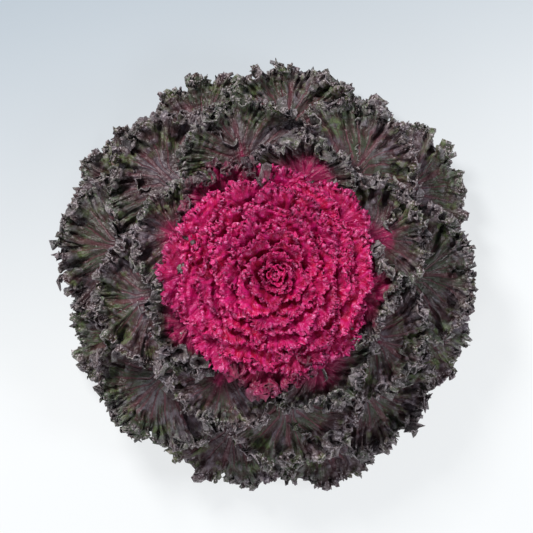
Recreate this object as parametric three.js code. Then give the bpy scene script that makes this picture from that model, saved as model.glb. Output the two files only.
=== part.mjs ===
// A cut head of ornamental kale: a short woody stem, three whorls of broad dark outer leaves, a collar of
// leaves that change colour, and a packed magenta heart round a small growing tip. Millimetres, +Z up.
// The origin is the centre of the stem's flat cut face, on which the head stands.
//
// The leaves climb the stem on the golden angle. Each leaf lies on its own level: a bowl or dome of
// revolution round the stem. The levels are nested, so leaves on different levels never meet.
import * as THREE from "three";

// ---- driving dimensions ----
const GOLDEN_ANGLE = THREE.MathUtils.degToRad(137.508);
const FIRST_AZIMUTH = THREE.MathUtils.degToRad(150); // where the lowest leaf points
const OUTER_LEAVES = 21;
const COLLAR_LEAVES = 7;
const HEART_LEAVES = 29;
const HEART_STEP = 2; // the heart is so dense that only every second leaf of its spiral is modelled here
const LEAVES = OUTER_LEAVES + COLLAR_LEAVES + HEART_LEAVES;
const REACH = 0.93; // share of its level's full length that a leaf covers, on average
const REACH_LEAN = -0.045; // leaves towards +X are this much shorter, those towards -X longer
const REACH_SPREAD = 0.022; // how much neighbouring leaves differ
const REACH_MOST = 0.995;
// Leaves that grew longer or shorter than their neighbours, by their order
const REACH_OWN = {
  0: -0.03, 1: -0.03, 2: -0.06, 3: -0.085, 4: -0.03, 5: -0.04, 6: -0.04, 7: 0.06, 8: 0.02,
  9: -0.03, 10: 0.02, 11: 0.06, 12: 0.07, 13: 0.05, 15: 0.09, 16: 0.02, 18: 0.06, 20: 0.07,
};
const LEAF_GAP = 0.3; // between a leaf's base and the stem

// Levels, from the lowest leaf (order 0) to the innermost one. attach, rise, arch and tip are the four
// points, as [radius, height], of a cubic Bezier curve from the stem to the level's rim. width is the
// blade's widest, petiole the stalk's share of the length, stalk the stalk's half width at the stem and
// rib the depth of the midrib there.
const LEVELS = [
  {
    order: 0,
    attach: [13.0, 20], rise: [62, 56], arch: [131, 14], tip: [191, 8.2],
    width: 132, petiole: 0.34, stalk: 6.2, rib: 5.2,
  },
  {
    order: 7,
    attach: [13.0, 32], rise: [57, 72], arch: [121, 51], tip: [182, 30],
    width: 130, petiole: 0.33, stalk: 6.0, rib: 4.8,
  },
  {
    order: 14,
    attach: [12.8, 43], rise: [47, 79], arch: [104, 80], tip: [156, 58],
    width: 118, petiole: 0.32, stalk: 5.6, rib: 4.2,
  },
  {
    order: 21,
    attach: [12.2, 54], rise: [37, 85], arch: [82, 97], tip: [124, 88],
    width: 98, petiole: 0.3, stalk: 5.0, rib: 3.5,
  },
  {
    order: 28,
    attach: [11.2, 64], rise: [28, 88], arch: [61, 107], tip: [95, 110],
    width: 84, petiole: 0.28, stalk: 4.4, rib: 2.8,
  },
  {
    order: 38,
    attach: [9.0, 77], rise: [18, 93], arch: [40, 110], tip: [63, 123],
    width: 64, petiole: 0.25, stalk: 3.6, rib: 2.0,
  },
  {
    order: 48,
    attach: [6.4, 89], rise: [10, 101], arch: [20, 113], tip: [32, 126],
    width: 38, petiole: 0.22, stalk: 2.8, rib: 1.4,
  },
  {
    order: 56,
    attach: [4.4, 98], rise: [5.2, 103], arch: [8.2, 110], tip: [10.5, 118],
    width: 17, petiole: 0.2, stalk: 1.8, rib: 1.0,
  },
];

// The head isn't quite round: its rim swells and shrinks, and rises and falls, a little round the stem.
const RIM_LOBES = [
  { count: 2, share: 0.018, turn: Math.PI },
  { count: 3, share: 0.012, turn: 2.1 },
];
const RIM_SAG = { count: 3, depth: 5.5, turn: -2.49, lowering: 7.5 }; // at RIM_RADIUS, in millimetres
const RIM_RADIUS = 170;
const PRESSED = 2.4; // below this height the surface pushes the leaves up, so none goes through it

// Blades
const TIP_THICKNESS_SHARE = 0.25; // how much of the midrib's depth is left at the leaf's tip
const RIB_SPREAD = 0.16; // half width of the midrib, as a share of the blade's half width
const OBOVATE = 0.22; // how far the blade's widest place lies towards the tip
// across and along count a blade's faces, thickness is the blade's and curl the height of its margin's waves.
const OUTER_BLADE = { across: 6, along: 6, thickness: 0.9, curl: 1.2 };
const HEART_BLADE = { across: 8, along: 5, thickness: 0.45, curl: 0 };

// Stem, as [radius, height] from the cut face to the crown
const STEM_PROFILE = [
  [11.2, 0],
  [11.6, 1.2],
  [11.4, 10],
  [12.0, 19],
  [12.6, 30],
  [12.3, 44],
  [11.7, 54],
  [10.6, 64],
  [8.4, 77],
  [5.7, 89],
  [3.4, 97],
];
const STEM_SIDES = 20;

// Growing tip
const TIP_BASE = 97.4;
const TIP_PROFILE = [
  [2.6, 0],
  [3.6, 4],
  [3.9, 9],
  [3.0, 14],
  [1.4, 17],
];
const TIP_SIDES = 12;

const HEART_COLOUR = 0xa3164a;
const COLLAR_COLOUR = 0x5c2038;
const OUTER_COLOUR = 0x3b3a35;
const STEM_COLOUR = 0x9aa37c;

// ---- levels ----
const isPair = (value) => Array.isArray(value);
const mixed = (a, b, share) => a + (b - a) * share;

// The slope of a level's value per order, from the levels on either side.
function slopeAt(index, pick) {
  const before = LEVELS[Math.max(index - 1, 0)];
  const after = LEVELS[Math.min(index + 1, LEVELS.length - 1)];
  return (pick(after) - pick(before)) / (after.order - before.order);
}

// A smooth value between the stated levels, by cubic Hermite steps.
function smoothValue(order, pick) {
  const last = LEVELS.length - 2;
  const index = Math.min(LEVELS.findLastIndex((level) => level.order <= order), last);
  const [low, high] = [LEVELS[index], LEVELS[index + 1]];
  const step = high.order - low.order;
  const t = (order - low.order) / step;
  const startSlope = slopeAt(index, pick) * step;
  const endSlope = slopeAt(index + 1, pick) * step;
  return (
    (2 * t ** 3 - 3 * t ** 2 + 1) * pick(low) +
    (t ** 3 - 2 * t ** 2 + t) * startSlope +
    (-2 * t ** 3 + 3 * t ** 2) * pick(high) +
    (t ** 3 - t ** 2) * endSlope
  );
}

// All the values of the level at this order.
function levelAt(order) {
  const level = {};
  for (const [key, value] of Object.entries(LEVELS[0])) {
    level[key] = isPair(value)
      ? value.map((_, axis) => smoothValue(order, (from) => from[key][axis]))
      : smoothValue(order, (from) => from[key]);
  }
  return level;
}

// The curve from the stem to the level's rim, in a plane of [radius, height].
function levelCurve(level) {
  const points = [level.attach, level.rise, level.arch, level.tip].map(([r, z]) => new THREE.Vector2(r, z));
  points[0].x += LEAF_GAP;
  return new THREE.CubicBezierCurve(...points);
}

// ---- leaves ----
// A point [radius, azimuth, height] of a level in space, once the rim's lobes and sag are added.
// Every level moves alike, so the levels stay nested.
function settled(radius, azimuth, height) {
  const away = THREE.MathUtils.smoothstep(radius, 14, 50); // the stem itself stays round
  let wide = 1;
  for (const lobe of RIM_LOBES) wide += lobe.share * away * Math.cos(lobe.count * azimuth + lobe.turn);
  const sag = RIM_SAG.lowering + RIM_SAG.depth * Math.cos(RIM_SAG.count * azimuth + RIM_SAG.turn);
  const lowered = height - sag * (radius / RIM_RADIUS) ** 2;
  const rested = lowered > PRESSED ? lowered : PRESSED * Math.exp(lowered / PRESSED - 1);
  return new THREE.Vector3(radius * wide * Math.cos(azimuth), radius * wide * Math.sin(azimuth), rested);
}

// Half the leaf's width at a share of its length.
function halfWidth(level, share) {
  const stalk = level.stalk * mixed(1, 0.62, Math.min(share / level.petiole, 1));
  if (share <= level.petiole) return stalk;
  const bladeShare = (share - level.petiole) / (1 - level.petiole);
  const c = THREE.MathUtils.clamp(2 * bladeShare - 1, -1, 1);
  const blade = (level.width / 2) * Math.sqrt(1 - c * c) * (1 + OBOVATE * c);
  return Math.max(blade, stalk * (1 - bladeShare), 0.04 * level.width);
}

// The leaf's rows, as shares of its length: close together round the stalk's end and the tip.
function rowShares(level, rows) {
  const stalkRows = 2;
  const shares = [0, level.petiole];
  for (let i = 1; i <= rows + 1 - stalkRows; i++) {
    const along = i / (rows + 1 - stalkRows);
    shares.push(mixed(level.petiole, 1, Math.sin((along * Math.PI) / 2) ** 1.15));
  }
  return shares;
}

// Where the leaf of this order points.
function azimuthOf(order) {
  const firstHeart = OUTER_LEAVES + COLLAR_LEAVES;
  const place = order < firstHeart ? order : firstHeart + (order - firstHeart) * HEART_STEP;
  return FIRST_AZIMUTH + place * GOLDEN_ANGLE;
}

// A leaf's reach along its level, from its azimuth and its place in the spiral.
function reachOf(order, azimuth) {
  const own = REACH_OWN[order] ?? 0;
  const wanted = REACH + REACH_LEAN * Math.cos(azimuth) + REACH_SPREAD * Math.sin(order * 2.3) + own;
  return Math.min(wanted, REACH_MOST);
}

function leafGeometry(order) {
  const level = levelAt(order);
  const blade = order < OUTER_LEAVES + COLLAR_LEAVES ? OUTER_BLADE : HEART_BLADE;
  const azimuth = azimuthOf(order);
  const curve = levelCurve(level);
  const reach = reachOf(order, azimuth);
  const shares = rowShares(level, blade.along);
  const geometry = new THREE.BoxGeometry(2, blade.along, 1, blade.across, blade.along, 1);
  const position = geometry.getAttribute("position");
  for (let i = 0; i < position.count; i++) {
    const across = position.getX(i); // -1 to 1
    const row = Math.round(position.getY(i) + blade.along / 2);
    const share = shares[row];
    const point = curve.getPointAt(share * reach);
    const tangent = curve.getTangentAt(share * reach);
    const bladeShare = Math.max(share - level.petiole, 0) / (1 - level.petiole);
    const edge = Math.abs(across) ** 3 * bladeShare;
    const column = Math.round(((across + 1) / 2) * blade.across);
    const wave = blade.curl * edge * ((row + column) % 2 ? 1 : -1);
    const ribDepth = level.rib * mixed(1, TIP_THICKNESS_SHARE, share);
    const depth = blade.thickness + (ribDepth - blade.thickness) * Math.exp(-((across / RIB_SPREAD) ** 2));
    const stalkDepth = share <= level.petiole ? mixed(depth, blade.thickness, Math.abs(across)) : depth;
    const under = position.getZ(i) < 0 ? Math.max(stalkDepth, blade.thickness) : 0;
    const radius = point.x - tangent.y * (wave - under);
    const height = point.y + tangent.x * (wave - under);
    const turn = (across * halfWidth(level, share)) / point.x;
    // Seen from above with the leaf pointing away, +X of the grid is the leaf's right, so it turns clockwise.
    position.setXYZ(i, ...settled(radius, azimuth - turn, height));
  }
  geometry.deleteAttribute("normal");
  geometry.deleteAttribute("uv");
  return geometry;
}

// ---- stem and growing tip ----
function lathed(profile, sides) {
  const points = profile.map(([radius, height]) => new THREE.Vector2(radius, height));
  points.unshift(new THREE.Vector2(0, profile[0][1]));
  points.push(new THREE.Vector2(0, profile.at(-1)[1]));
  return new THREE.LatheGeometry(points, sides).rotateX(Math.PI / 2);
}

function material(colour, roughness) {
  return new THREE.MeshStandardMaterial({ color: colour, roughness, metalness: 0 });
}

// ---- assembly ----
const kale = new THREE.Group();

function add(name, geometry, finish) {
  const mesh = new THREE.Mesh(geometry, finish);
  mesh.name = name;
  kale.add(mesh);
  return mesh;
}

const stemFinish = material(STEM_COLOUR, 0.6);
const heartFinish = material(HEART_COLOUR, 0.45);
const collarFinish = material(COLLAR_COLOUR, 0.5);
const outerFinish = material(OUTER_COLOUR, 0.5);

add("stem", lathed(STEM_PROFILE, STEM_SIDES), stemFinish);
add("growing_tip", lathed(TIP_PROFILE, TIP_SIDES), heartFinish).position.z = TIP_BASE;

const GROUPS = [
  { name: "outer_leaf", count: OUTER_LEAVES, finish: outerFinish },
  { name: "collar_leaf", count: COLLAR_LEAVES, finish: collarFinish },
  { name: "heart_leaf", count: HEART_LEAVES, finish: heartFinish },
];

let order = 0;
for (const { name, count, finish } of GROUPS) {
  for (let number = 1; number <= count; number++) {
    add(`${name}_${String(number).padStart(2, "0")}`, leafGeometry(order), finish);
    order++;
  }
}
if (order !== LEAVES) throw new Error("the groups don't hold every leaf");

export default kale;
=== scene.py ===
"""A cut head of ornamental kale, standing on its stem.

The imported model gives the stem, the growing tip and every leaf as plain solids. Each is replaced here by a
detailed piece in the same place. A leaf starts as a flat blank, is laid on its level round the stem, and has
its margin ruffled in up to three sizes, each on top of the one before. Lengths are in metres, +Z is up.
"""

import math
import random
from types import SimpleNamespace

import bmesh
import bpy
import numpy as np
from bpy.props import FloatProperty, FloatVectorProperty, IntProperty, PointerProperty
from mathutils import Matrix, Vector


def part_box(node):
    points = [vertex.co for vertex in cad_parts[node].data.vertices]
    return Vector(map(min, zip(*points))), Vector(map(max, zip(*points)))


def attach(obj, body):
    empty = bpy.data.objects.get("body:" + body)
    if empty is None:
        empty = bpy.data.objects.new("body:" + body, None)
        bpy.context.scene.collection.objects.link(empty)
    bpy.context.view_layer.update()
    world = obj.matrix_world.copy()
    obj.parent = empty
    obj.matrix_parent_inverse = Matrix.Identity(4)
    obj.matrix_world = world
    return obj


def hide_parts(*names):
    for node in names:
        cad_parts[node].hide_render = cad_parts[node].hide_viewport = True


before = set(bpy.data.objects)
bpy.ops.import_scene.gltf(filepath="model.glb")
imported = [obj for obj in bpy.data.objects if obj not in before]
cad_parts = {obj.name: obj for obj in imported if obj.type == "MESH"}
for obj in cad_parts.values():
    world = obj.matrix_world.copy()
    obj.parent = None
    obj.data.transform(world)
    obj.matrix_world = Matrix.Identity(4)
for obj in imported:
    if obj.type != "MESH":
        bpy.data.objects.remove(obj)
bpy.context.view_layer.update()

bl_info = {
    "name": "Ornamental kale head",
    "version": (1, 0, 0),
    "blender": (4, 5, 0),
    "location": "View3D > Sidebar > Kale",
    "description": "Builds a cut head of ornamental kale round its packed model",
    "category": "Add Mesh",
}

MM = 0.001

# ---- where the leaves lie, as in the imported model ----
GOLDEN_ANGLE = math.radians(137.508)
FIRST_AZIMUTH = math.radians(150)  # where the lowest leaf points
OUTER_LEAVES = 21
RIM_LEAVES = 8  # the lowest outer leaves, whose margins lie flatter
COLLAR_LEAVES = 7
HEART_LEAVES = 29
FIRST_HEART = OUTER_LEAVES + COLLAR_LEAVES
FIRST_CORE = 42  # from here inwards the heart's leaves are small and have a coarser blank
LAST_BETWEEN = 47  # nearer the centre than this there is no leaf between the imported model's
HEART_STEP = 2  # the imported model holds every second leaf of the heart's spiral
REACH = 0.93  # share of its level's full length that a leaf covers, on average
REACH_LEAN = -0.045  # leaves towards +X are this much shorter, those towards -X longer
REACH_SPREAD = 0.022  # how much neighbouring leaves differ
REACH_MOST = 0.995  # and what no leaf goes past
# leaves that grew longer or shorter than their neighbours
REACH_OWN = {
    0: -0.03, 1: -0.03, 2: -0.06, 3: -0.085, 4: -0.03, 5: -0.04, 6: -0.04, 7: 0.06, 8: 0.02,
    9: -0.03, 10: 0.02, 11: 0.06, 12: 0.07, 13: 0.05, 15: 0.09, 16: 0.02, 18: 0.06, 20: 0.07,
}
LEAF_GAP = 0.3  # between a leaf's base and the stem

# Levels, in millimetres. attach, rise, arch and tip are the four points, as (radius, height), of a level's
# curve. width is the blade's widest, petiole the stalk's share of the length, stalk the stalk's half width
# and rib the depth of the midrib at the stem.
LEVELS = [
    dict(order=0, attach=(13.0, 20), rise=(62, 56), arch=(131, 14), tip=(191, 8.2),
         width=132, petiole=0.34, stalk=6.2, rib=5.2),
    dict(order=7, attach=(13.0, 32), rise=(57, 72), arch=(121, 51), tip=(182, 30),
         width=130, petiole=0.33, stalk=6.0, rib=4.8),
    dict(order=14, attach=(12.8, 43), rise=(47, 79), arch=(104, 80), tip=(156, 58),
         width=118, petiole=0.32, stalk=5.6, rib=4.2),
    dict(order=21, attach=(12.2, 54), rise=(37, 85), arch=(82, 97), tip=(124, 88),
         width=98, petiole=0.3, stalk=5.0, rib=3.5),
    dict(order=28, attach=(11.2, 64), rise=(28, 88), arch=(61, 107), tip=(95, 110),
         width=84, petiole=0.28, stalk=4.4, rib=2.8),
    dict(order=38, attach=(9.0, 77), rise=(18, 93), arch=(40, 110), tip=(63, 123),
         width=64, petiole=0.25, stalk=3.6, rib=2.0),
    dict(order=48, attach=(6.4, 89), rise=(10, 101), arch=(20, 113), tip=(32, 126),
         width=38, petiole=0.22, stalk=2.8, rib=1.4),
    dict(order=56, attach=(4.4, 98), rise=(5.2, 103), arch=(8.2, 110), tip=(10.5, 118),
         width=17, petiole=0.2, stalk=1.8, rib=1.0),
]
# Past the last level, how far each of the four points moves outwards and upwards with each step of order
BUD_STEPS = [(-0.1, 0.5), (-0.25, 0.6), (-1.0, 0.4), (-1.9, -0.45)]
BUD_LEAVES = 5
BUD_SPACING = 0.85  # in order, from one of the bud's leaves to the next
OBOVATE = 0.22  # how far the blade's widest place lies towards the tip
# The head isn't quite round: its rim swells and shrinks, and rises and falls, a little round the stem.
RIM_LOBES = [dict(count=2, share=0.018, turn=math.pi), dict(count=3, share=0.012, turn=2.1)]
RIM_SAG = dict(count=3, depth=5.5, turn=-2.49, lowering=7.5)  # at RIM_RADIUS, in millimetres
RIM_RADIUS = 170
PRESSED = 2.4 * MM  # below this height the surface pushes the leaves up

# stem, as (radius, height) in millimetres, and the scars of shed leaves on it
STEM_PROFILE = [(11.2, 0), (11.6, 1.2), (11.4, 10), (12.0, 19), (12.6, 30), (12.3, 44), (11.7, 54),
                (10.6, 64), (8.4, 77), (5.7, 89), (3.4, 97)]
STEM_RINGS = 70
SCARS = range(-5, FIRST_HEART + 1)  # by place in the spiral, those below the lowest leaf being negative
SCAR = dict(width=6 * MM, height=3 * MM, depth=0.9 * MM)

# ---- stage ----
LIGHTS = [
    dict(name="key_light", place=(-0.8, 1.2, 1.4), size=0.55, power=30, tint=(1.0, 0.985, 0.96)),
    dict(name="fill_light", place=(1.4, -0.2, 1.1), size=0.5, power=9, tint=(0.93, 0.96, 1.0)),
    dict(name="front_light", place=(-0.5, -1.4, 1.1), size=0.6, power=6, tint=(0.95, 0.97, 1.0)),
]
SKY = dict(tint=(0.86, 0.92, 1.0, 1), strength=0.22)
CAMERA_PLACE = (-0.0064, 0.0068, 2.3)
VIEW_WIDTH = 0.4253  # what the camera sees across, at VIEW_DEPTH below it
VIEW_DEPTH = 2.27
SENSOR_WIDTH = 36

# ---- leaves ----
PUCKER_LENGTH = 5 * MM  # of the shortest bulges between a leaf's veins
BLADE_SHARE = 0.86  # share of a blank's columns that lie in the blade; the others are in the stalk
BLADE_BASE = 0.62  # half width where the stalk meets the blade, as a share of the stalk's at the stem
VEIN_BOW = 0.22  # four times how far a side vein bows towards the tip, as a share of the blade's length
MIDRIB_SHARE = 0.6  # how far up the blade the midrib runs before it fans out
# columns and rows of the coarse blank, then its finer bands: where one starts, how far round the margin it
# goes, and whether it is cut both ways or only into more columns
OUTER_BLANK = dict(columns=56, rows=6, bands=[(0.3, 0.84, True), (0.48, 0.76, True), (0.6, 0.66, False),
                                              (0.82, 0.56, False)])
HEART_BLANK = dict(columns=44, rows=5, bands=[(0.35, 0.8, True), (0.62, 0.72, True), (0.76, 0.68, False),
                                              (0.88, 0.62, False)])
CORE_BLANK = dict(columns=36, rows=5, bands=[(0.35, 0.8, True), (0.6, 0.74, False), (0.8, 0.66, False)])
BUD_BLANK = dict(columns=40, rows=8, bands=[(0.6, 0.8, False)])

# The sizes of ruffle of each kind of leaf: length of one wave in millimetres, how steeply it bends in
# radians, where between midrib and margin it starts, and how late it grows.
RIM_RUFFLES = [
    dict(length=30, bend=0.85, start=0.3, growth=1.2),
    dict(length=11, bend=1.0, start=0.5, growth=1.0),
    dict(length=5.4, bend=1.0, start=0.78, growth=0.9),
]
OUTER_RUFFLES = [
    dict(length=27, bend=1.1, start=0.2, growth=1.1),
    dict(length=10.5, bend=1.5, start=0.42, growth=0.8),
    dict(length=5.2, bend=1.3, start=0.55, growth=0.8),
]
HEART_RUFFLES = [
    dict(length=24, bend=0.6, start=0.3, growth=1.2),
    dict(length=6.4, bend=1.35, start=0.7, growth=0.8),
    dict(length=3.8, bend=1.15, start=0.82, growth=0.8),
]
BUD_RUFFLES = [dict(length=7, bend=0.5, start=0.5, growth=1.0)]

# How the margin rolls over, in radians: on average, with each large ruffle, and at random. start is where
# the roll starts. Positive rolls turn the margin up and inwards.
RIM_ROLL = dict(start=0.6, mean=0.1, wave=0.35, spread=0.3)
OUTER_ROLL = dict(start=0.5, mean=0.5, wave=0.5, spread=0.4)
HEART_ROLL = dict(start=0.6, mean=-0.25, wave=0.3, spread=0.3)
BUD_ROLL = dict(start=0.5, mean=0.3, wave=0.2, spread=0.2)

# Each kind of leaf: its ruffles and roll, and in millimetres how high it billows and how deep its teeth are.
RIM_LEAF = dict(ruffles=RIM_RUFFLES, roll=RIM_ROLL, wave=4.0, tooth=1.1)
OUTER_LEAF = dict(ruffles=OUTER_RUFFLES, roll=OUTER_ROLL, wave=4.0, tooth=1.1)
COLLAR_LEAF = dict(ruffles=OUTER_RUFFLES, roll=OUTER_ROLL, wave=3.0, tooth=1.0)
HEART_LEAF = dict(ruffles=HEART_RUFFLES, roll=HEART_ROLL, wave=1.2, tooth=0.8)
BUD_LEAF = dict(ruffles=BUD_RUFFLES, roll=BUD_ROLL, wave=0.2, tooth=0.25)

# How far the magenta reaches from the midrib towards the margin, by a leaf's place in the spiral.
BLUSH_ORDERS = [0, 12, 18, 21, 25, 28, 30, 36]
BLUSH_REACHES = [-0.4, -0.35, -0.02, 0.3, 0.65, 1.25, 1.6, 2.2]
# how the skin of the outer and collar leaves shines, and that of the heart's
OUTER_GLOSS = dict(roughness=(0.3, 0.52), sheen=0.11, sheen_tint=(0.95, 0.84, 0.95, 1),
                   shine=0.6, shine_tint=(1.0, 0.94, 0.97, 1))
HEART_GLOSS = dict(roughness=(0.26, 0.45), sheen=0.05, sheen_tint=(1.0, 0.5, 0.85, 1),
                   shine=0.85, shine_tint=(1.0, 0.45, 0.88, 1))


def mixed(a, b, share):
    return a + (b - a) * share


def smooth(low, high, value):
    t = np.clip((value - low) / (high - low), 0, 1)
    return t * t * (3 - 2 * t)


# ---- levels ----
def level_value(order, values):
    """A smooth value between those of the stated levels, by cubic Hermite steps."""
    orders = [level["order"] for level in LEVELS]
    last = len(orders) - 1
    i = min(max(n for n, stated in enumerate(orders) if stated <= order), last - 1)
    slopes = []
    for n in (i, i + 1):
        before, after = max(n - 1, 0), min(n + 1, last)
        slopes.append((values[after] - values[before]) / (orders[after] - orders[before]))
    step = orders[i + 1] - orders[i]
    t = (order - orders[i]) / step
    return (
        (2 * t**3 - 3 * t**2 + 1) * values[i]
        + (t**3 - 2 * t**2 + t) * slopes[0] * step
        + (-2 * t**3 + 3 * t**2) * values[i + 1]
        + (t**3 - t**2) * slopes[1] * step
    )


class Level:
    """The surface of revolution that one leaf lies on."""

    def __init__(self, order):
        past = max(order - LEVELS[-1]["order"], 0)
        order = min(order, LEVELS[-1]["order"])
        points = [
            np.array([level_value(order, [level[name][axis] for level in LEVELS]) for axis in (0, 1)])
            for name in ("attach", "rise", "arch", "tip")
        ]
        for point, (outwards, upwards) in zip(points, BUD_STEPS):
            point += (outwards * past, upwards * past)
        points[0][0] += LEAF_GAP
        t = np.linspace(0, 1, 500)[:, None]
        a, b, c, d = points
        line = (1 - t) ** 3 * a + 3 * (1 - t) ** 2 * t * b + 3 * (1 - t) * t**2 * c + t**3 * d
        self.line = line * MM
        steps = np.linalg.norm(np.diff(self.line, axis=0), axis=1)
        self.along = np.concatenate([[0], np.cumsum(steps)])
        self.end_slope = (self.line[-1] - self.line[-2]) / steps[-1]
        self.petiole = level_value(order, [level["petiole"] for level in LEVELS])
        self.width, self.stalk, self.rib = (
            level_value(order, [level[name] for level in LEVELS]) * MM for name in ("width", "stalk", "rib")
        )

    def at(self, y):
        """Radius and height at these lengths along the level."""
        past = np.maximum(y - self.along[-1], 0)
        radius = np.interp(y, self.along, self.line[:, 0]) + past * self.end_slope[0]
        height = np.interp(y, self.along, self.line[:, 1]) + past * self.end_slope[1]
        return radius, height


def settled(radius, azimuth, height):
    """A point of a level in space, once the rim's lobes and sag are added."""
    away = smooth(14 * MM, 50 * MM, radius)
    wide = 1.0
    for lobe in RIM_LOBES:
        wide = wide + lobe["share"] * away * np.cos(lobe["count"] * azimuth + lobe["turn"])
    sag = RIM_SAG["lowering"] + RIM_SAG["depth"] * np.cos(RIM_SAG["count"] * azimuth + RIM_SAG["turn"])
    lowered = height - sag * MM * (radius / (RIM_RADIUS * MM)) ** 2
    return np.stack([radius * wide * np.cos(azimuth), radius * wide * np.sin(azimuth), lowered], axis=-1)


def pressed(height):
    """Heights once the surface has pushed up what would go through it."""
    return np.where(height > PRESSED, height, PRESSED * np.exp(np.minimum(height / PRESSED, 1) - 1))


# ---- ruffles ----
class Drift:
    """A smooth random line, from about -1 to 1, that changes over the given length."""

    def __init__(self, rng, length):
        self.waves = []
        for _ in range(4):
            rate = 2 * math.pi / (length * rng.uniform(0.7, 1.9))
            self.waves.append((rate, rng.uniform(0, 6.28)))

    def __call__(self, x):
        return sum(np.sin(x * rate + turn) for rate, turn in self.waves) / 2.2


def bessel(w):
    """The first three Bessel functions, for bends up to about 2."""
    return (
        1 - w**2 / 4 + w**4 / 64 - w**6 / 2304 + w**8 / 147456,
        w / 2 - w**3 / 16 + w**5 / 384 - w**7 / 18432,
        w**2 / 8 - w**4 / 96 + w**6 / 3072 - w**8 / 184320,
    )


class Ruffle:
    """One size of wave along a leaf's margin. The line of its waves is a meander, as a long thin strip
    takes up when it is pushed together."""

    def __init__(self, rng, length, bend, start, growth, stretch, scale):
        self.length = length * MM * scale
        self.flat_length = self.length / stretch
        self.bend, self.start, self.growth = bend, start, growth
        self.turn = rng.uniform(0, 6.28)
        self.wander = Drift(rng, self.flat_length * 2.6)
        self.amount = Drift(rng, self.flat_length * 2.1)
        self.lean = Drift(rng, self.flat_length * 3.1)

    def stretch(self):
        return 1 / bessel(self.bend)[0]

    def phase(self, run, edge):
        phase = 2 * math.pi * run / self.flat_length + self.turn
        return phase + 1.4 * self.wander(run) + 3.4 * (1 - edge) * self.lean(run)

    def offsets(self, run, edge, share):
        """How far the wave lifts and shifts the surface, and where its crests are."""
        grown = np.clip((edge - self.start) / (1 - self.start), 0, 1) ** self.growth
        bend = np.minimum(self.bend * grown * share * (0.9 + 0.4 * self.amount(run)), 1.9)
        phase = self.phase(run, edge)
        j0, j1, j2 = bessel(bend)
        size = self.length / (2 * math.pi * j0)
        return 2 * size * j1 * np.sin(phase), -size * j2 * np.sin(2 * phase), grown * np.sin(phase)


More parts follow.
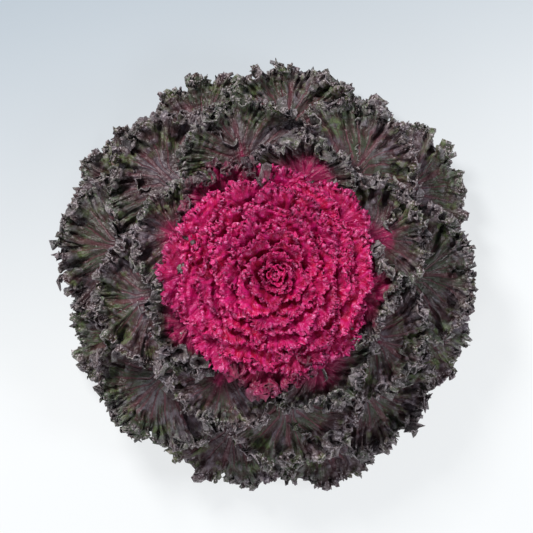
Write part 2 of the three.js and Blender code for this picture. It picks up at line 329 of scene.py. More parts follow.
# ---- one leaf ----
class Leaf:
    """The shape of one leaf, as a function of column (-1 to 1, the tip at 0) and edge (0 at the midrib to 1
    at the margin)."""

    STEP = 0.004  # for slopes, in columns and edge

    def __init__(self, order, ruffles, wave, roll, tooth):
        rng = random.Random(round(1000 + 2 * order))
        self.level = Level(order)
        place = order if order < FIRST_HEART else FIRST_HEART + (order - FIRST_HEART) * HEART_STEP
        self.azimuth = FIRST_AZIMUTH + place * GOLDEN_ANGLE
        reach = REACH + REACH_LEAN * math.cos(self.azimuth) + REACH_SPREAD * math.sin(order * 2.3)
        reach = min(reach + REACH_OWN.get(order, 0), REACH_MOST)
        self.length = reach * self.level.along[-1]
        self.stalk_length = self.level.petiole * self.length
        self.blade_length = self.length - self.stalk_length
        self.wave, self.tooth = wave * MM, tooth * MM
        self.roll = roll
        self.roll_drift = Drift(rng, 17 * MM)
        self.lobes = Drift(rng, 26 * MM)
        self.scallops = Drift(rng, 8 * MM)
        self.teeth = Drift(rng, 2.8 * MM)
        self.billow = Drift(rng, 52 * MM)
        self.tilt = rng.uniform(-0.05, 0.05)
        self.puckers = [(rng.uniform(0.4, 1.0), rng.uniform(0, 6.28), rng.uniform(0, 6.28)) for _ in range(7)]
        self.measure_margin()
        scale = min(1, 0.4 + 0.6 * self.level.width / (88 * MM))
        stretch = 1.0
        self.ruffles = []
        for made in ruffles:
            self.ruffles.append(Ruffle(rng, **made, stretch=stretch, scale=scale))
            stretch *= self.ruffles[-1].stretch()

    def sweep(self, column):
        """The angle round the blade's outline: 0 at the tip, pi where the stalk starts."""
        share = np.clip(np.abs(column) / BLADE_SHARE, 0, 1)
        return math.pi * (0.62 * share + 0.38 * share**3)

    def margin(self, sweep):
        c = np.cos(sweep)
        blade = self.level.width / 2 * np.sin(sweep) * (1 + OBOVATE * c)
        along = self.stalk_length + self.blade_length * (1 + c) / 2
        return blade + BLADE_BASE * self.level.stalk * (1 - c) / 2, along

    def measure_margin(self):
        self.sweeps = np.linspace(0, math.pi, 300)
        x, y = self.margin(self.sweeps)
        self.runs = np.concatenate([[0], np.cumsum(np.hypot(np.diff(x), np.diff(y)))])

    def run(self, column):
        """Length along the margin from the tip, negative on the left."""
        return np.sign(column) * np.interp(self.sweep(column), self.sweeps, self.runs)

    def flat(self, column, edge):
        """The leaf's place when pressed flat: across and along."""
        sweep = self.sweep(column)
        run = self.run(column)
        out_x, out_y = self.margin(sweep)
        rib_y = self.stalk_length + self.blade_length * MIDRIB_SHARE * ((1 + np.cos(sweep)) / 2) ** 1.6
        reach = np.hypot(out_x, out_y - rib_y) + 1e-6
        fringe = self.lobes(run) * 2.2 * MM * smooth(0.3, 1, edge)
        fringe += self.scallops(run) * self.tooth * smooth(0.75, 1, edge)
        fringe += self.teeth(run) * self.tooth * smooth(0.93, 1, edge)
        share = edge * (1 + fringe / reach)
        x = out_x * share
        bow = VEIN_BOW * self.blade_length * edge * (1 - edge) * np.sin(sweep) ** 2
        y = rib_y + (out_y - rib_y) * share + bow
        stalk = np.clip((np.abs(column) - BLADE_SHARE) / (1 - BLADE_SHARE), 0, 1)
        half = self.level.stalk * mixed(BLADE_BASE, 1, stalk)
        x = np.where(stalk > 0, half * edge, x)
        y = np.where(stalk > 0, self.stalk_length * (1 - stalk), y)
        return np.sign(column) * x, y

    def plain(self, column, edge):
        """The leaf on its level, with slow billows but no ruffles."""
        x, y = self.flat(column, edge)
        radius, height = self.level.at(y)
        run = self.run(column)
        out = smooth(0.2, 1, edge) * (np.abs(column) < BLADE_SHARE)
        height = height + self.billow(run) * self.wave * out + self.tilt * x * smooth(0, 0.5, y / self.length)
        return settled(radius, self.azimuth - x / radius, height)

    def rolled(self, column, edge):
        """The leaf with its margin rolled up or down, by an angle that changes along the margin."""
        start = self.roll["start"]
        run = self.run(column)
        wave = np.sin(self.ruffles[0].phase(run, 1.0) + 0.5)
        roll = self.roll["mean"] + self.roll["wave"] * wave + self.roll["spread"] * self.roll_drift(run)
        roll = roll * self.open_share(column)
        roll = np.where(np.abs(roll) < 1e-3, 1e-3, roll)
        past = np.clip((edge - start) / (1 - start), 0, 1)
        flat_edge = np.where(past > 0, start + (1 - start) * np.sin(roll * past) / roll, edge)
        here = self.plain(column, flat_edge)
        along = self.plain(column + self.STEP, flat_edge) - here
        out = here - self.plain(column, flat_edge - self.STEP)
        along /= np.linalg.norm(along, axis=1, keepdims=True) + 1e-12
        band = np.linalg.norm(out, axis=1) / self.STEP * (1 - start)
        normal = np.cross(along, out)
        normal /= np.linalg.norm(normal, axis=1, keepdims=True) + 1e-12
        lift = band * (1 - np.cos(roll * past)) / roll * (np.abs(column) < BLADE_SHARE)
        return here + normal * lift[:, None]

    def surface(self, column, edge, sizes):
        """The leaf with this many sizes of ruffle."""
        if not sizes:
            return self.rolled(column, edge)
        here = self.surface(column, edge, sizes - 1)
        along = self.surface(column + self.STEP, edge, sizes - 1) - here
        out = here - self.surface(column, edge - self.STEP, sizes - 1)
        along /= np.linalg.norm(along, axis=1, keepdims=True) + 1e-12
        normal = np.cross(along, out)
        normal /= np.linalg.norm(normal, axis=1, keepdims=True) + 1e-12
        lift, shift, _ = self.waves(column, edge, sizes - 1)
        return here + normal * lift[:, None] + along * shift[:, None]

    def open_share(self, column):
        """1 round the tip, falling to 0 where the blade's base lies under the leaves above."""
        return 1 - smooth(0.5 * math.pi, 0.92 * math.pi, self.sweep(column))

    def waves(self, column, edge, size):
        return self.ruffles[size].offsets(self.run(column), edge, 0.35 + 0.65 * self.open_share(column))

    def pucker(self, x, y):
        """Small bulges of the blade between its veins."""
        height = 0
        for rate, aim, turn in self.puckers:
            along = x * math.cos(aim) + y * math.sin(aim)
            height = height + np.sin(rate * 2 * math.pi / PUCKER_LENGTH * along + turn)
        return settings().pucker / 2.6 * height

    def depth(self, x, y, blade):
        """How thick the leaf is: thin at the margin, as deep as its rib at the midrib."""
        share = np.clip(y / self.length, 0, 1)
        rib = self.level.rib * mixed(1, 0.2, share)
        half = self.level.stalk * mixed(1, 0.25, share)
        return blade + np.maximum(rib - blade, 0) * np.exp(-1.2 * (x / half) ** 2)


# ---- mesh helpers ----
def deselect():
    if bpy.context.object and bpy.context.object.mode != "OBJECT":
        bpy.ops.object.mode_set(mode="OBJECT")
    bpy.ops.object.select_all(action="DESELECT")


def select_only(piece):
    deselect()
    piece.select_set(True)
    bpy.context.view_layer.objects.active = piece


def places(mesh):
    found = np.empty(len(mesh.vertices) * 3)
    mesh.vertices.foreach_get("co", found)
    return found.reshape(-1, 3)


def place(mesh, points):
    mesh.vertices.foreach_set("co", np.ascontiguousarray(points, dtype=np.float32).ravel())
    mesh.update()


def store(mesh, name, values):
    mesh.attributes.new(name, "FLOAT", "POINT").data.foreach_set("value", np.asarray(values, np.float32))


def apply_all(piece):
    select_only(piece)
    for modifier in list(piece.modifiers):
        bpy.ops.object.modifier_apply(modifier=modifier.name)


def leaf_blank(columns, rows, bands):
    """A flat grid, finer towards the margin. X is the column and Y the edge, both from -1 to 1."""
    deselect()
    bpy.ops.mesh.primitive_grid_add(x_subdivisions=columns, y_subdivisions=rows, size=2, location=(0, 0, 0))
    blank = bpy.context.object
    bpy.ops.object.mode_set(mode="EDIT")
    for start, within, both_ways in bands:
        bpy.ops.mesh.select_mode(type="EDGE")
        bpy.ops.mesh.select_all(action="DESELECT")
        shape = bmesh.from_edit_mesh(blank.data)
        for side in shape.edges:
            ends = [vertex.co for vertex in side.verts]
            middle = (ends[0] + ends[1]) / 2
            across = abs(ends[0].y - ends[1].y) < 1e-6
            side.select_set((middle.y + 1) / 2 >= start and abs(middle.x) < within and (across or both_ways))
        bmesh.update_edit_mesh(blank.data)
        bpy.ops.mesh.subdivide(number_cuts=1)
    bpy.ops.object.mode_set(mode="OBJECT")
    return blank


def make_leaf(blank, name, order, shape, skins):
    """One leaf from a copy of its blank: laid on its level, ruffled, puckered and given its thickness."""
    leaf = Leaf(order, **shape)
    rng = np.random.default_rng(round(2 * order))
    mesh = blank.data.copy()
    piece = bpy.data.objects.new(name, mesh)
    bpy.context.scene.collection.objects.link(piece)
    grid = places(mesh)
    column, edge = grid[:, 0], (grid[:, 1] + 1) / 2
    x, y = leaf.flat(column, edge)
    points = leaf.surface(column, edge, len(leaf.ruffles))
    crest = sum(leaf.waves(column, edge, n)[2] for n in range(len(leaf.ruffles))[-2:]) / 2
    crinkle = settings().crinkle * smooth(0.8, 1, edge) * (np.abs(column) < BLADE_SHARE)
    points += rng.normal(0, 0.5, points.shape) * crinkle[:, None]
    points[:, 2] = pressed(points[:, 2])
    place(mesh, points)
    normals = np.empty(len(points) * 3)
    mesh.vertex_normals.foreach_get("vector", normals)
    pucker = leaf.pucker(x, y) * smooth(0.12, 0.45, edge) * (np.abs(column) < BLADE_SHARE)
    place(mesh, points + normals.reshape(-1, 3) * pucker[:, None])
    store(mesh, "edge", edge)
    store(mesh, "run", leaf.run(column))
    store(mesh, "rib", np.abs(x))
    store(mesh, "crest", crest)
    store(mesh, "bulge", pucker / settings().pucker)
    store(mesh, "blush", np.full(len(edge), np.interp(order, BLUSH_ORDERS, BLUSH_REACHES)))
    store(mesh, "tone", np.full(len(edge), rng.uniform(0, 1)))
    thickness = leaf.depth(x, y, settings().blade_thickness)
    deepest = leaf.level.rib
    group = piece.vertex_groups.new(name="depth")
    for index, share in enumerate(thickness / deepest):
        group.add([index], float(min(share, 1)), "REPLACE")
    for skin in skins:
        mesh.materials.append(skin)
    weld = piece.modifiers.new("weld", "WELD")
    weld.merge_threshold = 1e-6
    solid = piece.modifiers.new("solid", "SOLIDIFY")
    solid.thickness = deepest
    solid.offset = -1
    solid.vertex_group = "depth"
    solid.thickness_vertex_group = 0
    solid.material_offset = 1
    apply_all(piece)
    piece.vertex_groups.clear()
    solid_points = places(piece.data)
    solid_points[:, 2] = pressed(solid_points[:, 2])
    place(piece.data, solid_points)
    bpy.ops.object.shade_smooth()
    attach(piece, "root")
    return piece


# ---- materials ----
class Nodes:
    """Short ways to add and join a material's nodes."""

    def __init__(self, name):
        self.material = bpy.data.materials.new(name)
        self.material.use_nodes = True
        self.tree = self.material.node_tree
        self.tree.nodes.clear()
        self.shader = self.add("ShaderNodeBsdfPrincipled")
        output = self.add("ShaderNodeOutputMaterial")
        self.tree.links.new(self.shader.outputs[0], output.inputs[0])

    def add(self, kind, **values):
        node = self.tree.nodes.new(kind)
        for key, value in values.items():
            setattr(node, key, value)
        return node

    def put(self, socket, value):
        if isinstance(value, bpy.types.NodeSocket):
            self.tree.links.new(value, socket)
        else:
            socket.default_value = value

    def attribute(self, name):
        return self.add("ShaderNodeAttribute", attribute_name=name).outputs["Fac"]

    def place(self):
        return self.add("ShaderNodeTexCoord").outputs["Object"]

    def math(self, operation, a, b=0.0):
        node = self.add("ShaderNodeMath", operation=operation)
        self.put(node.inputs[0], a)
        self.put(node.inputs[1], b)
        return node.outputs[0]

    def times(self, a, b):
        return self.math("MULTIPLY", a, b)

    def plus(self, a, b):
        return self.math("ADD", a, b)

    def most(self, a, b):
        return self.math("MAXIMUM", a, b)

    def step(self, value, low, high, start=0.0, end=1.0):
        """A smooth change from start to end while the value goes from low to high."""
        node = self.add("ShaderNodeMapRange", interpolation_type="SMOOTHSTEP")
        for socket, given in zip(node.inputs, (value, low, high, start, end)):
            self.put(socket, given)
        return node.outputs[0]

    def noise(self, scale, detail=2.0, roughness=0.5, where=None):
        node = self.add("ShaderNodeTexNoise")
        self.put(node.inputs["Vector"], where or self.place())
        self.put(node.inputs["Scale"], scale)
        self.put(node.inputs["Detail"], detail)
        self.put(node.inputs["Roughness"], roughness)
        return node.outputs["Fac"]

    def blend(self, share, a, b, mode="MIX"):
        node = self.add("ShaderNodeMix", data_type="RGBA", blend_type=mode)
        self.put(node.inputs["Factor"], share)
        self.put(node.inputs["A"], a if isinstance(a, bpy.types.NodeSocket) else (*a, 1)[:4])
        self.put(node.inputs["B"], b if isinstance(b, bpy.types.NodeSocket) else (*b, 1)[:4])
        return node.outputs["Result"]

    def bump(self, height, distance, strength=1.0, normal=None):
        node = self.add("ShaderNodeBump")
        self.put(node.inputs["Height"], height)
        self.put(node.inputs["Distance"], distance)
        self.put(node.inputs["Strength"], strength)
        if normal:
            self.put(node.inputs["Normal"], normal)
        return node.outputs[0]

    def veins(self, pitch, thick, start):
        """1 on the side veins, which run from the midrib to the margin, and 0 between them."""
        edge = self.attribute("edge")
        wander = self.times(self.noise(60.0), 0.5)
        turn = self.plus(self.math("DIVIDE", self.attribute("run"), pitch), wander)
        off = self.math("ABSOLUTE", self.math("SUBTRACT", self.math("FRACT", turn), 0.5))
        gap = self.times(off, self.times(edge, pitch))
        line = self.step(gap, 0.35 * thick, thick, 1.0, 0.0)
        return self.times(line, self.step(edge, start, start + 0.15))


def leaf_marks(n):
    """What a leaf's colours follow: its own attributes, noises from broad to fine, lit curls and veins."""
    marks = SimpleNamespace()
    for name in ("edge", "crest", "bulge", "blush", "tone", "rib"):
        setattr(marks, name, n.attribute(name))
    marks.patch = n.noise(26.0, 3.0)
    marks.mottle = n.noise(95.0, 3.0, 0.6)
    marks.fine = n.noise(260.0, 3.0, 0.6)
    # fine specks, used only for painted glints near the margins
    marks.grains = n.step(n.noise(620.0, 1.0), 0.55, 0.66)
    # painted highlight mask: the crests of the curls towards the margin
    lit = n.times(n.step(marks.crest, -0.1, 0.5), n.step(marks.edge, 0.55, 0.95))
    marks.lit = n.times(lit, n.step(marks.fine, 0.42, 0.62))
    main_veins = n.most(n.veins(0.017, 0.0008, 0.02), n.step(marks.rib, 0.0009, 0.0020, 1.0, 0.0))
    marks.veins = n.most(main_veins, n.times(n.veins(0.0048, 0.0004, 0.3), 0.6))
    return marks


def dark_skin(n, marks, settings):
    """Purple and green with olive patches and lavender wax, painted shade in hollows and painted light on
    crests.
    """
    edge = marks.edge
    skin = n.blend(n.step(marks.patch, 0.44, 0.56), settings.purple, settings.green)
    # painted shade: broad random dark spots in the shadow colour
    skin = n.blend(n.step(marks.mottle, 0.5, 0.38, 0.0, 0.6), skin, settings.shadow)
    olive = n.times(n.step(n.noise(64.0, 4.0, 0.6), 0.51, 0.62), n.step(edge, 0.3, 0.65))
    skin = n.blend(n.times(olive, 0.75), skin, settings.olive)
    # lavender patches: the leaves' waxy bloom, and painted sheen
    skin = n.blend(n.step(n.noise(44.0, 4.0, 0.6), 0.5, 0.66, 0.0, 0.6), skin, settings.bloom_and_sheen)
    # painted sheen on the tops of the bulges
    skin = n.blend(n.step(marks.bulge, 0.3, 1.3, 0.0, 0.45), skin, settings.bloom_and_sheen)
    # painted shade in the hollows between the bulges
    skin = n.blend(n.step(marks.bulge, -0.1, -1.0, 0.0, 0.7), skin, settings.shadow)
    # painted shade in fine random spots
    skin = n.blend(n.step(marks.fine, 0.5, 0.36, 0.0, 0.7), skin, settings.shadow)
    # painted highlights on the crests of the curls near the margin: the crest colour, sage on green parts
    curls = n.blend(n.step(marks.patch, 0.44, 0.56), settings.crest, settings.sage)
    skin = n.blend(n.times(marks.lit, 0.7), skin, curls)
    # a pale line at the very margin, partly painted highlight, and painted glint specks just inside it, both
    # in the rim colour
    hem_and_glints = n.times(n.step(marks.fine, 0.45, 0.56), n.step(edge, 0.975, 0.998, 0.0, 0.4))
    hem_and_glints = n.most(hem_and_glints, n.times(marks.grains, n.step(edge, 0.8, 0.96, 0.0, 0.85)))
    skin = n.blend(hem_and_glints, skin, settings.rim)
    return n.blend(n.times(marks.veins, n.step(edge, 0.5, 0.85, 0.75, 0.0)), skin, settings.vein)


def red_skin(n, marks, settings):
    """Crimson and magenta with a pinker fringe, deeper near the midrib; painted shade in hollows and on the
    collar, painted light on bulges and crests.
    """
    edge = marks.edge
    # deeper towards the midrib: the leaf's deep colour, darkened further as painted shade where the blade
    # goes down under the next leaf
    skin = n.blend(n.step(edge, 0.2, 0.8), settings.depth, settings.crimson)
    skin = n.blend(n.step(marks.patch, 0.42, 0.62, 0.0, 0.55), skin, settings.magenta)
    # painted light: the tops of the bulges pinker, the hollows left crimson
    skin = n.blend(n.step(marks.bulge, -0.2, 1.1, 0.0, 0.7), skin, settings.magenta)
    # painted shade in random dark hollows
    skin = n.blend(n.step(marks.mottle, 0.48, 0.36, 0.0, 0.5), skin, settings.depth)
    skin = n.blend(n.step(edge, 0.78, 0.97, 0.0, 0.75), skin, settings.fringe)
    # the collar leaves' darker magenta, partly their colour and partly painted shade, as they lie lower,
    # under the heart
    skin = n.blend(n.step(marks.blush, 2.2, 0.6, 0.0, 0.8), skin, settings.shaded_wine)
    # painted glints: pale pink specks on the fringe's crests, and painted highlight on the lit crests
    tips = n.times(n.step(marks.crest, -0.2, 0.25), n.step(edge, 0.82, 0.95, 0.0, 0.9))
    painted_glints = n.most(n.times(marks.lit, 0.3), n.times(marks.grains, tips))
    skin = n.blend(painted_glints, skin, settings.painted_glint)
    return n.blend(n.times(marks.veins, 0.4), skin, settings.fringe)


def leaf_finish(name, settings, under=False):
    """A leaf's finish: dark or magenta by how far the blush reaches, with raised veins underneath."""
    n = Nodes(name)
    marks = leaf_marks(n)
    dark, red = dark_skin(n, marks, settings), red_skin(n, marks, settings)
    if under:
        dark = n.blend(0.3, dark, settings.underside)
        red = n.blend(0.4, red, settings.fringe)
    reach = n.plus(marks.blush, n.times(n.math("SUBTRACT", marks.patch, 0.5), 0.7))
    reach = n.plus(reach, n.times(n.math("SUBTRACT", marks.mottle, 0.5), 0.5))
    left = n.math("SUBTRACT", reach, marks.edge)
    dark = n.blend(n.step(left, -0.45, 0.05, 0.0, 0.75), dark, settings.maroon)
    shaded = n.add("ShaderNodeVectorMath", operation="SCALE")
    n.put(shaded.inputs[0], n.blend(n.step(left, -0.16, 0.18), dark, red))
    n.put(shaded.inputs["Scale"], n.plus(0.8, n.times(marks.tone, 0.4)))
    n.put(n.shader.inputs["Base Color"], shaded.outputs[0])
    gloss = HEART_GLOSS if name.startswith("heart") else OUTER_GLOSS
    n.put(n.shader.inputs["Roughness"], n.step(marks.fine, 0.3, 0.7, *gloss["roughness"]))
    n.put(n.shader.inputs["Sheen Weight"], gloss["sheen"])
    n.put(n.shader.inputs["Sheen Roughness"], 0.4)
    n.put(n.shader.inputs["Sheen Tint"], gloss["sheen_tint"])
    n.put(n.shader.inputs["Specular IOR Level"], gloss["shine"])
    n.put(n.shader.inputs["Specular Tint"], gloss["shine_tint"])
    height = n.plus(n.times(marks.veins, 0.5 if under else -0.5), n.noise(420.0, 3.0))
    height = n.plus(height, n.times(marks.mottle, 2.2))
    n.put(n.shader.inputs["Normal"], n.bump(height, 0.0010, 0.85))
    return n.material


def stem_finish():
    n = Nodes("stem_skin")
    apart = n.add("ShaderNodeSeparateXYZ")
    n.put(apart.inputs[0], n.place())
    squares = [n.math("POWER", apart.outputs[axis], 2.0) for axis in (0, 1)]
    radius = n.math("SQRT", n.plus(*squares))
    bark = n.blend(n.noise(90.0, 4.0), (0.22, 0.27, 0.12), (0.42, 0.42, 0.28))
    rings = n.plus(radius, n.times(n.noise(300.0, 2.0), 0.0008))
    pith = n.blend(n.step(rings, 0.0066, 0.0076), (0.62, 0.63, 0.46), (0.40, 0.46, 0.24))
    pith = n.blend(n.times(n.noise(900.0, 3.0), 0.5), pith, (0.5, 0.45, 0.3))
    cut = n.step(apart.outputs[2], 0.0002, 0.0008, 1.0, 0.0)
    n.put(n.shader.inputs["Base Color"], n.blend(cut, bark, pith))
    n.shader.inputs["Roughness"].default_value = 0.6
    n.put(n.shader.inputs["Normal"], n.bump(n.noise(350.0, 4.0), 0.0008, 0.6))
    return n.material


def floor_finish(settings):
    n = Nodes("backdrop_paper")
    apart = n.add("ShaderNodeSeparateXYZ")
    n.put(apart.inputs[0], n.place())
    # painted light: the floor goes from bright in front to a darker, bluer grey behind, as the studio light
    # falls off; it also glows and takes little lamp light, which keeps shadows faint
    rise = n.math("SUBTRACT", apart.outputs[1], n.times(apart.outputs[0], 0.25))
    colour = n.blend(n.step(rise, -0.1, 0.38), settings.floor_near, settings.floor_far)
    n.put(n.shader.inputs["Base Color"], n.blend(1.0, colour, (0.3, 0.3, 0.3), "MULTIPLY"))
    n.put(n.shader.inputs["Emission Color"], colour)
    n.shader.inputs["Emission Strength"].default_value = settings.floor_glow
    n.shader.inputs["Roughness"].default_value = 0.9
    n.shader.inputs["Specular IOR Level"].default_value = 0.1
    return n.material


# ---- settings ----
def length(name, description, default):
    return FloatProperty(
        name=name, description=description, default=default, min=0, unit="LENGTH", precision=5
    )


def colour(name, description, default):
    return FloatVectorProperty(
        name=name, description=description, default=default, size=3, subtype="COLOR", min=0, max=1
    )


class KaleSettings(bpy.types.PropertyGroup):
    blade_thickness: length("Blade thickness", "Thickness of a leaf away from its ribs", 0.00055)
    crinkle: length("Crinkle", "How uneven the last of a leaf's margin is", 0.0007)
    pucker: length("Pucker", "Height of the small bulges between a leaf's veins", 0.0011)
    purple: colour("Purple", "Purple parts of the outer leaves", (0.070, 0.036, 0.042))
    green: colour("Green", "Dark green parts of the outer leaves", (0.050, 0.068, 0.034))
    olive: colour("Olive", "Lighter green patches", (0.125, 0.175, 0.050))
    # waxy bloom, also painted sheen on the tops of bulges and in patches
    bloom_and_sheen: colour("Bloom", "Waxy lavender bloom", (0.25, 0.205, 0.255))
    # painted highlight colour on the crests of the outer leaves' curls
    crest: colour("Crest", "Crests of the outer leaves' curls", (0.31, 0.25, 0.245))
    # painted shade colour, for the hollows and dark spots of the outer leaves
    shadow: colour("Shadow", "Hollows between the outer leaves' bulges", (0.050, 0.019, 0.018))
    # painted highlight colour on the crests of curls on green parts
    sage: colour("Sage", "Crests of the curls on green parts", (0.175, 0.225, 0.15))
    # pale margin line, partly painted highlight, and painted glint specks
    rim: colour("Rim", "Pale rim of the outer leaves", (0.66, 0.57, 0.60))
    maroon: colour("Maroon", "Stain towards the midrib of the outer leaves", (0.085, 0.012, 0.028))
    vein: colour("Vein", "Veins of the outer leaves", (0.14, 0.035, 0.05))
    # deep colour near the midrib, partly painted shade, and painted shade in hollows
    depth: colour("Depth", "Heart leaves near their base", (0.30, 0.003, 0.020))
    crimson: colour("Crimson", "Heart leaves", (0.56, 0.004, 0.055))
    # also painted light on the tops of bulges
    magenta: colour("Magenta", "Pinker patches of the heart leaves", (0.62, 0.006, 0.18))
    # collar leaves' magenta, darkened partly as painted shade
    shaded_wine: colour("Wine", "Magenta parts of the collar leaves", (0.25, 0.004, 0.062))
    fringe: colour("Fringe", "Margins and veins of the heart leaves", (0.74, 0.022, 0.18))
    # painted glints on the heart leaves' fringe
    painted_glint: colour("Spark", "Palest crests of the heart leaves' fringe", (0.97, 0.36, 0.64))
    underside: colour("Underside", "Bloom on the undersides", (0.20, 0.19, 0.19))
    # floor colours: a painted falloff of light, bright in front and darker bluish grey behind
    floor_near: colour("Floor near", "Floor before the head", (0.97, 0.99, 1.0))
    floor_far: colour("Floor far", "Floor behind the head", (0.465, 0.535, 0.605))
    floor_glow: FloatProperty(
        name="Floor glow", description="Light given off by the floor", default=0.72, min=0
    )
    stem_sides: IntProperty(name="Stem sides", description="Faces round the stem", default=72, min=12)


def settings():
    return bpy.context.scene.kale_settings


def finishes(kind):
    """The top and underside finishes of one kind of leaf, made once."""
    names = (f"{kind}_top", f"{kind}_underside")
    found = [bpy.data.materials.get(name) for name in names]
    if None in found:
        found = [leaf_finish(name, settings(), under) for name, under in zip(names, (False, True))]
    return found


# ---- operators ----
def pattern_at(order):
    """The blank and the kind of the leaf at this place in the spiral."""
    if order < RIM_LEAVES:
        return OUTER_BLANK, RIM_LEAF
    if order < OUTER_LEAVES:
        return OUTER_BLANK, OUTER_LEAF
    if order < FIRST_HEART:
        return OUTER_BLANK, COLLAR_LEAF
    return (HEART_BLANK if order < FIRST_CORE else CORE_BLANK), HEART_LEAF


def add_leaves(kind, orders):
    """Leaves for these places in the spiral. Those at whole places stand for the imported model's nodes."""
    blanks = {}
    number = 0
    for order in orders:
        pattern, shape = pattern_at(order)
        if id(pattern) not in blanks:
            blanks[id(pattern)] = leaf_blank(**pattern)
        whole = order == int(order)
        number += whole
        name = f"{kind}_{number:02d}_{'ruffled' if whole else 'between'}"
        piece = make_leaf(blanks[id(pattern)], name, order, shape, finishes(kind))
        if whole:
            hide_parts(f"{kind}_{number:02d}")
    for blank in blanks.values():
        bpy.data.objects.remove(blank)


class KALE_OT_outer_leaves(bpy.types.Operator):
    """Add the dark, widely ruffled outer leaves"""

    bl_idname = "kale.outer_leaves"
    bl_label = "Outer leaves"

    def execute(self, context):
        add_leaves("outer_leaf", range(OUTER_LEAVES))
        return {"FINISHED"}


class KALE_OT_collar_leaves(bpy.types.Operator):
    """Add the leaves between the dark ones and the heart"""

    bl_idname = "kale.collar_leaves"
    bl_label = "Collar leaves"

    def execute(self, context):
        add_leaves("collar_leaf", range(OUTER_LEAVES, FIRST_HEART))
        return {"FINISHED"}


class KALE_OT_heart_leaves(bpy.types.Operator):
    """Add the fringed magenta leaves of the heart"""

    bl_idname = "kale.heart_leaves"
    bl_label = "Heart leaves"

    def execute(self, context):
        orders = [FIRST_HEART + half / 2 for half in range(2 * HEART_LEAVES - 1)]
        add_leaves("heart_leaf", [order for order in orders if order == int(order) or order < LAST_BETWEEN])
        return {"FINISHED"}


class KALE_OT_growing_tip(bpy.types.Operator):
    """Add the small bud of unopened leaves at the centre"""

    bl_idname = "kale.growing_tip"
    bl_label = "Growing tip"

    def execute(self, context):
        low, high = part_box("growing_tip")
        deselect()
        bpy.ops.mesh.primitive_uv_sphere_add(segments=96, ring_count=48, radius=1, location=(0, 0, 0))
        bud = bpy.context.object
        bud.name = "growing_tip_bud"
        points = places(bud.data)
        turn = np.arctan2(points[:, 1], points[:, 0])
        rise = points[:, 2]
        flat = np.sqrt(np.clip(1 - rise**2, 0, 1))
        fold = np.abs(np.sin(1.5 * turn + 3.4 * rise + 0.4 * np.sin(3 * turn)))
        wide = (high.x - low.x) / 2 * flat * (0.5 + 0.4 * fold * flat)
        centre = (low + high) / 2
        tall = (high.z - low.z) / 2
        shaped = np.stack(
            [wide * np.cos(turn) + centre.x, wide * np.sin(turn) + centre.y, centre.z + tall * rise], axis=-1
        )
        place(bud.data, shaped)
        count = len(shaped)
        for name, value in dict(edge=0.9, run=0.0, rib=0.01, blush=1.6, tone=0.2).items():
            store(bud.data, name, np.full(count, value))
        store(bud.data, "crest", fold * 0.8)
        store(bud.data, "bulge", fold)
        bud.data.materials.append(finishes("heart_leaf")[0])
        select_only(bud)
        bpy.ops.object.shade_smooth()
        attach(bud, "root")
        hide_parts("growing_tip")
        blank = leaf_blank(**BUD_BLANK)
        for number in range(1, BUD_LEAVES + 1):
            order = LEVELS[-1]["order"] + number * BUD_SPACING
            leaf = make_leaf(blank, f"bud_leaf_{number:02d}", order, BUD_LEAF, finishes("heart_leaf"))
        bpy.data.objects.remove(blank)
        return {"FINISHED"}


class KALE_OT_stem(bpy.types.Operator):
    """Add the woody stem, with the scars of shed leaves and a cut face"""

    bl_idname = "kale.stem"
    bl_label = "Stem"

    def execute(self, context):
        low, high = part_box("stem")
        height = high.z - low.z
        deselect()
        bpy.ops.mesh.primitive_cylinder_add(
            vertices=settings().stem_sides, radius=1, depth=height, location=(0, 0, low.z + height / 2)
        )
        stem = bpy.context.object
        stem.name = "woody_stem"
        bpy.ops.object.transform_apply(location=True, rotation=False, scale=False)
        bpy.ops.object.mode_set(mode="EDIT")
        bpy.ops.mesh.select_mode(type="EDGE")
        shape = bmesh.from_edit_mesh(stem.data)
        for edge in shape.edges:
            edge.select_set(abs(edge.verts[0].co.z - edge.verts[1].co.z) > height / 2)
        bmesh.update_edit_mesh(stem.data)
        bpy.ops.mesh.subdivide(number_cuts=STEM_RINGS)
        bpy.ops.object.mode_set(mode="OBJECT")
        points = places(stem.data)
        profile = np.array(STEM_PROFILE) * MM
        turn = np.arctan2(points[:, 1], points[:, 0])
        radius = np.interp(points[:, 2], profile[:, 1], profile[:, 0])
        for order in SCARS:
            where = FIRST_AZIMUTH + order * GOLDEN_ANGLE
            up = (20 + 1.6 * order - (6 if order < 0 else 0)) * MM
            apart = (turn - where + math.pi) % (2 * math.pi) - math.pi
            gap = np.hypot(apart * radius / SCAR["width"], (points[:, 2] - up) / SCAR["height"])
            radius = radius + np.exp(-(gap**2)) * SCAR["depth"] * smooth(0.001, 0.004, points[:, 2])
        points[:, 0], points[:, 1] = radius * np.cos(turn), radius * np.sin(turn)
        place(stem.data, points)
        stem.data.materials.append(stem_finish())
        select_only(stem)
        bpy.ops.object.shade_smooth_by_angle(angle=math.radians(50))
        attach(stem, "root")
        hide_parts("stem")
        return {"FINISHED"}


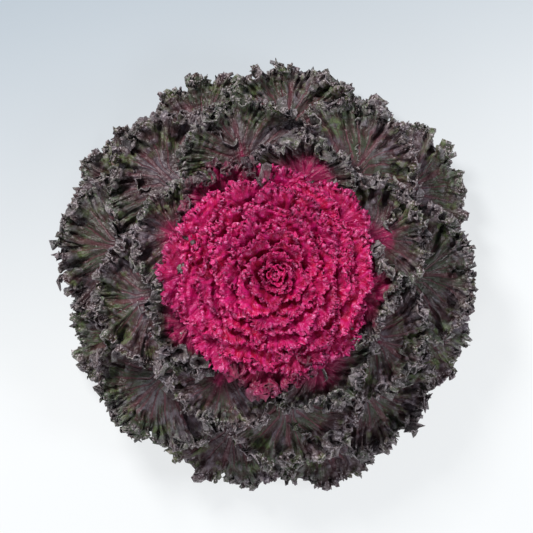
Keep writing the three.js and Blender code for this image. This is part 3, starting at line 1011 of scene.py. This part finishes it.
class KALE_OT_stage(bpy.types.Operator):
    """Add the floor, the lights and the camera"""

    bl_idname = "kale.stage"
    bl_label = "Stage"

    def execute(self, context):
        deselect()
        bpy.ops.mesh.primitive_plane_add(size=8, location=(0, 0, 0))
        floor = bpy.context.object
        floor.name = "floor"
        floor.data.materials.append(floor_finish(settings()))
        for made in LIGHTS:
            bpy.ops.object.light_add(type="AREA", location=made["place"])
            light = bpy.context.object
            light.name = made["name"]
            light.data.shape = "SQUARE"
            light.data.size = made["size"]
            light.data.energy = made["power"]
            light.data.color = made["tint"]
            light.rotation_euler = (-light.location).to_track_quat("-Z", "Y").to_euler()
        world = bpy.data.worlds.new("studio")
        world.use_nodes = True
        sky = world.node_tree.nodes["Background"]
        sky.inputs["Color"].default_value = SKY["tint"]
        sky.inputs["Strength"].default_value = SKY["strength"]
        scene = bpy.context.scene
        scene.world = world
        scene.view_settings.view_transform = "Standard"
        bpy.ops.object.camera_add(location=CAMERA_PLACE, rotation=(0, 0, 0))
        camera = bpy.context.object
        camera.name = "camera"
        camera.data.sensor_width = SENSOR_WIDTH
        camera.data.lens = SENSOR_WIDTH * VIEW_DEPTH / VIEW_WIDTH
        scene.camera = camera
        return {"FINISHED"}


class KALE_PT_panel(bpy.types.Panel):
    bl_label = "Ornamental kale"
    bl_space_type = "VIEW_3D"
    bl_region_type = "UI"
    bl_category = "Kale"

    def draw(self, context):
        column = self.layout.column()
        for name in KaleSettings.__annotations__:
            column.prop(context.scene.kale_settings, name)
        for operator in OPERATORS:
            column.operator(operator.bl_idname)


OPERATORS = (
    KALE_OT_stage,
    KALE_OT_stem,
    KALE_OT_outer_leaves,
    KALE_OT_collar_leaves,
    KALE_OT_heart_leaves,
    KALE_OT_growing_tip,
)
CLASSES = (KaleSettings, *OPERATORS, KALE_PT_panel)


def register():
    for kind in CLASSES:
        bpy.utils.register_class(kind)
    bpy.types.Scene.kale_settings = PointerProperty(type=KaleSettings)


def unregister():
    del bpy.types.Scene.kale_settings
    for kind in reversed(CLASSES):
        bpy.utils.unregister_class(kind)


def main():
    register()
    bpy.ops.kale.stage()
    bpy.ops.kale.stem()
    bpy.ops.kale.outer_leaves()
    bpy.ops.kale.collar_leaves()
    bpy.ops.kale.heart_leaves()
    bpy.ops.kale.growing_tip()


if __name__ == "__main__":
    main()
